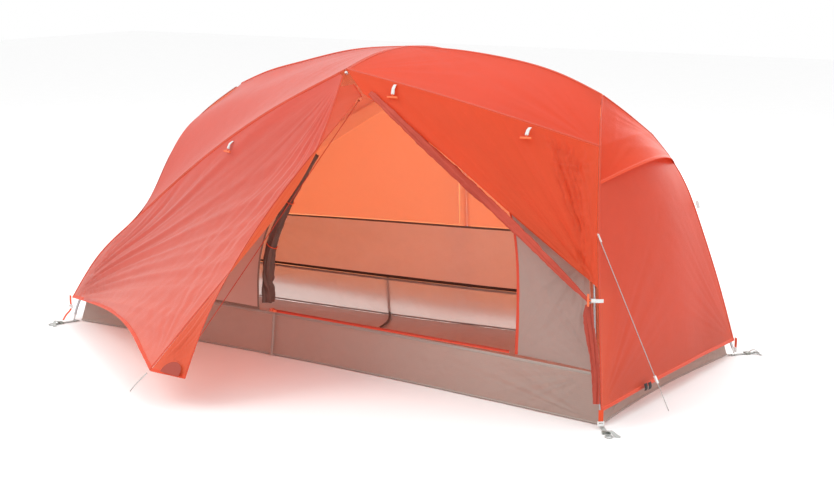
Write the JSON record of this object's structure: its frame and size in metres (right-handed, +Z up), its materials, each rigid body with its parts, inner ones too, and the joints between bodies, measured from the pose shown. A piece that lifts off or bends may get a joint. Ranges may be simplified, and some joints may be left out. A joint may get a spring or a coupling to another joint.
{
  "type": "tent on poles",
  "caption": "Low hubbed-pole tent with a mesh inner, tub floor and a lift-off rainfly, its door rolled back beside a staked vestibule flap.",
  "frame": {"origin": "centre of the floor, on the ground under the groundsheet", "axes": "+X along the tent towards its wide head end, -Y towards the door, +Z up"},
  "size_m": [2.4189, 1.681, 1.0543],
  "materials": {
    "bare_metal": "plain",
    "canopy_cloth": "thin uncoated ripstop",
    "canopy_mesh": "fine mesh",
    "clip_plastic": "moulded",
    "cord": "braided cord",
    "door_mesh": "bunched mesh",
    "elastic": "braided over rubber",
    "fly_cloth": "thin coated ripstop",
    "fly_dark": "doubled coated ripstop",
    "hard_plastic": "moulded",
    "hub_plastic": "moulded",
    "label": "printed tape, blank",
    "pole_metal": "anodised",
    "pull_cord": "braided cord",
    "slider_metal": "painted",
    "toggle_plastic": "moulded",
    "tub_cloth": "coated ripstop",
    "webbing_grey": "woven webbing",
    "zip_tape": "coil zip on woven tape"
  },
  "bodies": {
    "inner_and_poles": {"canopy_back_low": "canopy_cloth", "canopy_back_mesh": "canopy_mesh", "canopy_clips": "clip_plastic", "canopy_foot_end": "canopy_cloth", "canopy_front_foot": "canopy_cloth", "canopy_front_head_low": "canopy_cloth", "canopy_front_head_mesh": "canopy_mesh", "canopy_head_end": "canopy_cloth", "canopy_roof": "canopy_mesh", "corner_straps": "webbing_grey", "grommets": "bare_metal", "hub_brow": "hub_plastic", "hub_foot": "hub_plastic", "hub_head": "hub_plastic", "inner_door_bundle": "door_mesh", "inner_zip_tape": "zip_tape", "pole_brow": "pole_metal", "pole_ferrules": "pole_metal", "pole_leg_foot_back": "pole_metal", "pole_leg_foot_front": "pole_metal", "pole_leg_head_back": "pole_metal", "pole_leg_head_front": "pole_metal", "pole_ridge": "pole_metal", "pole_tips": "bare_metal", "shock_cord": "elastic", "tub_floor": "tub_cloth", "tub_walls": "tub_cloth"},
    "rainfly": {"fly_back": "fly_cloth", "fly_corner_buckles": "hard_plastic", "fly_corner_patch": "fly_dark", "fly_door_panel": "fly_cloth", "fly_door_roll": "fly_dark", "fly_door_tail": "fly_dark", "fly_foot_end": "fly_cloth", "fly_head_end": "fly_cloth", "fly_roof_foot": "fly_cloth", "fly_roof_head": "fly_cloth", "fly_vent_hood": "fly_cloth", "fly_vestibule": "fly_cloth", "fly_webbing_tabs": "webbing_grey", "fly_zip_strip": "fly_cloth", "fly_zip_tape": "zip_tape", "toggle_loops": "webbing_grey", "guyline": "cord", "vestibule_cord": "cord", "care_label": "label"},
    "fly_slider": {"fly_zip_slider": "slider_metal"},
    "fly_tab": {"fly_zip_pull": "pull_cord"},
    "inner_slider": {"inner_zip_slider": "slider_metal"},
    "inner_tab": {"inner_zip_pull": "pull_cord"},
    "tensioner": {"guyline_tensioner": "hard_plastic"},
    "toggle_foot": {"toggle_foot": "toggle_plastic"},
    "toggle_mid": {"toggle_mid": "toggle_plastic"},
    "toggle_head": {"toggle_head": "toggle_plastic"},
    "toggle_low": {"toggle_low": "toggle_plastic"},
    "lock_head_front": {"ladder_lock_head_front": "hard_plastic"},
    "lock_head_back": {"ladder_lock_head_back": "hard_plastic"},
    "lock_foot_front": {"ladder_lock_foot_front": "hard_plastic"},
    "lock_foot_back": {"ladder_lock_foot_back": "hard_plastic"}
  },
  "joints": [
    {"name": "rainfly_lift", "type": "slide", "parent": "inner_and_poles", "child": "rainfly", "axis": [0, 0, 1], "range_m": [0, 1.25]},
    {"name": "fly_zip_travel", "type": "slide", "parent": "rainfly", "child": "fly_slider", "axis": [-0.2056, -0.6381, -0.742], "range_m": [0, 0.88]},
    {"name": "fly_pull_swing", "type": "hinge", "parent": "fly_slider", "child": "fly_tab", "pos_m": [0.1895, -0.3907, 0.9123], "axis": [-0.7797, 0.565, -0.2699], "range_deg": [0, 75]},
    {"name": "inner_zip_travel", "type": "slide", "parent": "inner_and_poles", "child": "inner_slider", "axis": [0.9986, -0.0533, 0], "range_m": [0, 0.93]},
    {"name": "inner_pull_swing", "type": "hinge", "parent": "inner_slider", "child": "inner_tab", "pos_m": [-0.1913, -0.374, 0.1635], "axis": [0, 0, -1], "range_deg": [0, 75]},
    {"name": "tensioner_travel", "type": "slide", "parent": "rainfly", "child": "tensioner", "axis": [-0.3418, -0.177, 0.923], "range_m": [0, 0.4]},
    {"name": "toggle_foot_swing", "type": "hinge", "parent": "rainfly", "child": "toggle_foot", "pos_m": [-0.3803, -0.3594, 0.7043], "axis": [-0.933, 0.36, 0], "range_deg": [0, 60]},
    {"name": "toggle_mid_swing", "type": "hinge", "parent": "rainfly", "child": "toggle_mid", "pos_m": [0.312, -0.3775, 0.929], "axis": [-1, 0, 0], "range_deg": [0, 60]},
    {"name": "toggle_head_swing", "type": "hinge", "parent": "rainfly", "child": "toggle_head", "pos_m": [0.7615, -0.3125, 0.8218], "axis": [-0.9998, -0.011, -0.017], "range_deg": [0, 60]},
    {"name": "toggle_low_swing", "type": "hinge", "parent": "rainfly", "child": "toggle_low", "pos_m": [1.0654, -0.4575, 0.368], "axis": [0, 0, 1], "range_deg": [0, 60]},
    {"name": "lock_head_front_travel", "type": "slide", "parent": "inner_and_poles", "child": "lock_head_front", "axis": [-0.622, 0.783, 0], "range_m": [0, 0.03]},
    {"name": "lock_head_back_travel", "type": "slide", "parent": "inner_and_poles", "child": "lock_head_back", "axis": [-0.622, -0.783, 0], "range_m": [0, 0.03]},
    {"name": "lock_foot_front_travel", "type": "slide", "parent": "inner_and_poles", "child": "lock_foot_front", "axis": [0.349, 0.9371, 0], "range_m": [0, 0.03]},
    {"name": "lock_foot_back_travel", "type": "slide", "parent": "inner_and_poles", "child": "lock_foot_back", "axis": [0.349, -0.9371, 0], "range_m": [0, 0.03]}
  ]
}
